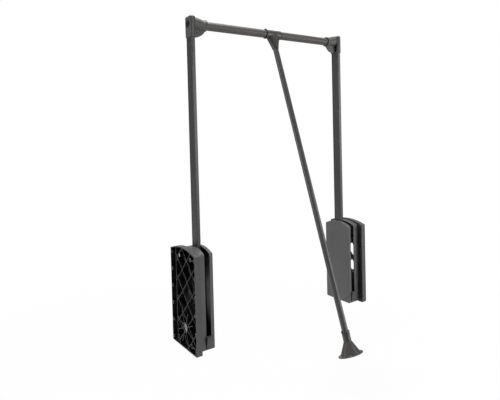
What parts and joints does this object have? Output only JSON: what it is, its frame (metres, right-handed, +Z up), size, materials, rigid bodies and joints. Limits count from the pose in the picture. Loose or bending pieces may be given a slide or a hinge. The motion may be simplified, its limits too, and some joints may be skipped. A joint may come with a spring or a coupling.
{
  "type": "pull down closet rod",
  "caption": "Pull down wardrobe rail: sprung side housings, swinging arms, telescopic rail and a hanging pull rod with a bell foot.",
  "frame": {"origin": "middle of the left frame's four wall screw holes, on the face that meets the wardrobe's left side", "axes": "+X from the left wall to the right wall along the rail, -Y towards the user, +Z up"},
  "size_m": [0.616, 0.3784, 0.8694],
  "materials": {
    "housing_plastic": "fine-grained anthracite moulding",
    "stop_plastic": "anthracite moulding",
    "pad_rubber": "black rubber",
    "bright_steel": "zinc-plated",
    "bush_plastic": "natural acetal",
    "spring_steel": "oiled spring steel",
    "hub_zinc": "dark cast",
    "coated_tube": "anthracite powder coat",
    "core_steel": "zinc-plated",
    "connector_plastic": "fine-grained anthracite moulding",
    "screw_black": "blackened"
  },
  "bodies": {
    "left_housing": {"left_mounting_frame": "housing_plastic", "left_housing_body": "housing_plastic", "left_housing_cover": "housing_plastic", "left_stop_block": "stop_plastic", "left_rest_pad": "pad_rubber", "left_pivot_axle": "bright_steel", "left_pivot_bushes": "bush_plastic", "left_case_screws": "bright_steel", "left_frame_screw": "bright_steel", "left_spring_anchor_pin": "bright_steel", "left_tension_spring": "spring_steel"},
    "left_arm": {"left_spring_pin": "bright_steel", "left_arm_hub": "hub_zinc", "left_arm_tube": "coated_tube", "left_hub_rivets": "bright_steel", "left_corner_connector": "connector_plastic", "left_corner_screw": "screw_black", "left_rail_plug": "connector_plastic", "left_rail_tube": "coated_tube"},
    "rail_core": {"core_tube": "core_steel", "tee_bush": "coated_tube"},
    "pull_handle": {"tee_sleeve": "connector_plastic", "pull_rod": "coated_tube", "socket_pin": "bright_steel", "bell_foot": "connector_plastic", "foot_screw": "screw_black"},
    "right_arm": {"right_spring_pin": "bright_steel", "right_arm_hub": "hub_zinc", "right_arm_tube": "coated_tube", "right_hub_rivets": "bright_steel", "right_corner_connector": "connector_plastic", "right_corner_screw": "screw_black", "right_rail_plug": "connector_plastic", "right_rail_tube": "coated_tube"},
    "right_housing": {"right_mounting_frame": "housing_plastic", "right_housing_body": "housing_plastic", "right_housing_cover": "housing_plastic", "right_stop_block": "stop_plastic", "right_rest_pad": "pad_rubber", "right_pivot_axle": "bright_steel", "right_pivot_bushes": "bush_plastic", "right_case_screws": "bright_steel", "right_frame_screw": "bright_steel", "right_spring_anchor_pin": "bright_steel", "right_tension_spring": "spring_steel"}
  },
  "joints": [
    {"name": "swing", "type": "hinge", "parent": "left_housing", "child": "left_arm", "pos_m": [0.044, -0.00315, -0.071], "axis": [1, 0, 0], "range_deg": [0, 98], "stiffness_Nm_per_rad": 8, "springref_deg": -34.38, "deforming": ["left_tension_spring"]},
    {"name": "left_extend", "type": "slide", "parent": "left_arm", "child": "rail_core", "axis": [1, 0, 0], "range_m": [0, 0.1]},
    {"name": "right_extend", "type": "slide", "parent": "rail_core", "child": "right_arm", "axis": [1, 0, 0], "range_m": [0, 0.1]},
    {"name": "handle_swivel", "type": "hinge", "parent": "rail_core", "child": "pull_handle", "pos_m": [0.312, 0.00385, 0.714], "axis": [1, 0, 0], "continuous": true},
    {"name": "right_swing", "type": "hinge", "parent": "right_arm", "child": "right_housing", "pos_m": [0.572, -0.00315, -0.071], "axis": [1, 0, 0], "range_deg": [-98, 0], "stiffness_Nm_per_rad": 8, "springref_deg": 34.38, "deforming": ["right_tension_spring"]}
  ],
  "couplings": [
    {"joint": "right_swing", "follows": "swing", "ratio": -1}
  ]
}
